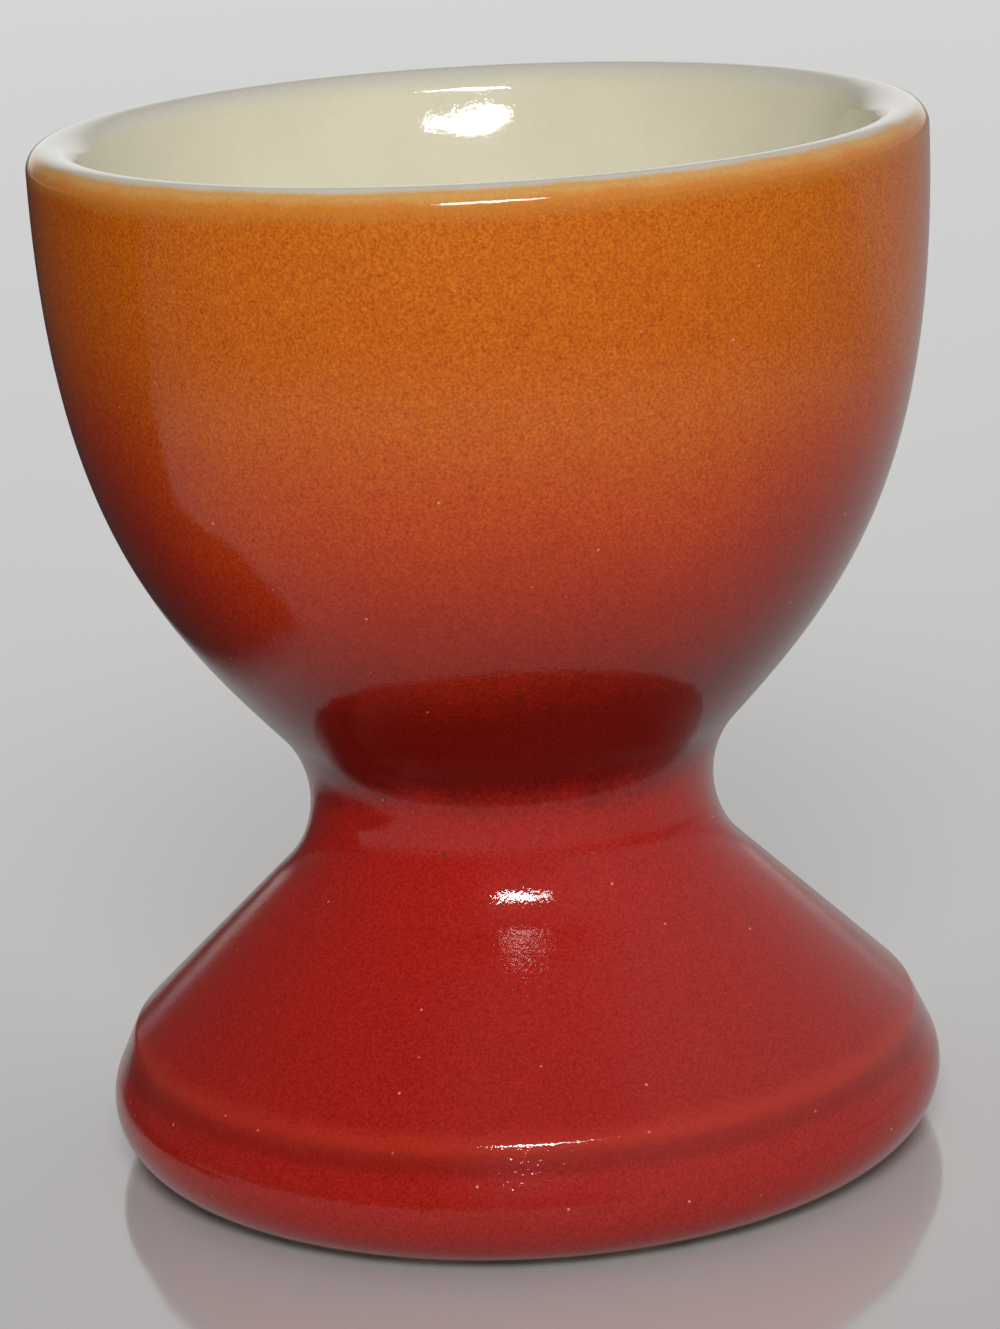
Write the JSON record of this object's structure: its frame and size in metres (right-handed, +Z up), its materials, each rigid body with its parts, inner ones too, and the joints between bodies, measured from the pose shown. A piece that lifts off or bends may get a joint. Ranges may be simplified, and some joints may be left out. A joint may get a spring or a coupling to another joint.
{
  "type": "egg cup",
  "caption": "Glazed stoneware egg cup with a cream hollow for an egg, a narrow waist and a flared, hollow foot, coloured outside from amber at the lip to red at the foot.",
  "frame": {"origin": "centre of the base, on the plane that the foot ring stands on", "axes": "+Z up along the cup's axis of revolution; X and Y are level"},
  "size_m": [0.049, 0.049, 0.058],
  "materials": {
    "clay": "bare fired stoneware, matt and fine-grained",
    "slip": "fired slip, matt",
    "cream_glaze": "glossy cream glaze",
    "colour_glaze": "glossy sprayed glaze, amber at the lip through brick to red at the foot"
  },
  "bodies": {
    "root": {"bowl": "clay", "foot": "clay", "luting_slip": "slip", "inner_glaze": "cream_glaze", "outer_glaze": "colour_glaze", "recess_glaze": "cream_glaze"}
  },
  "joints": []
}
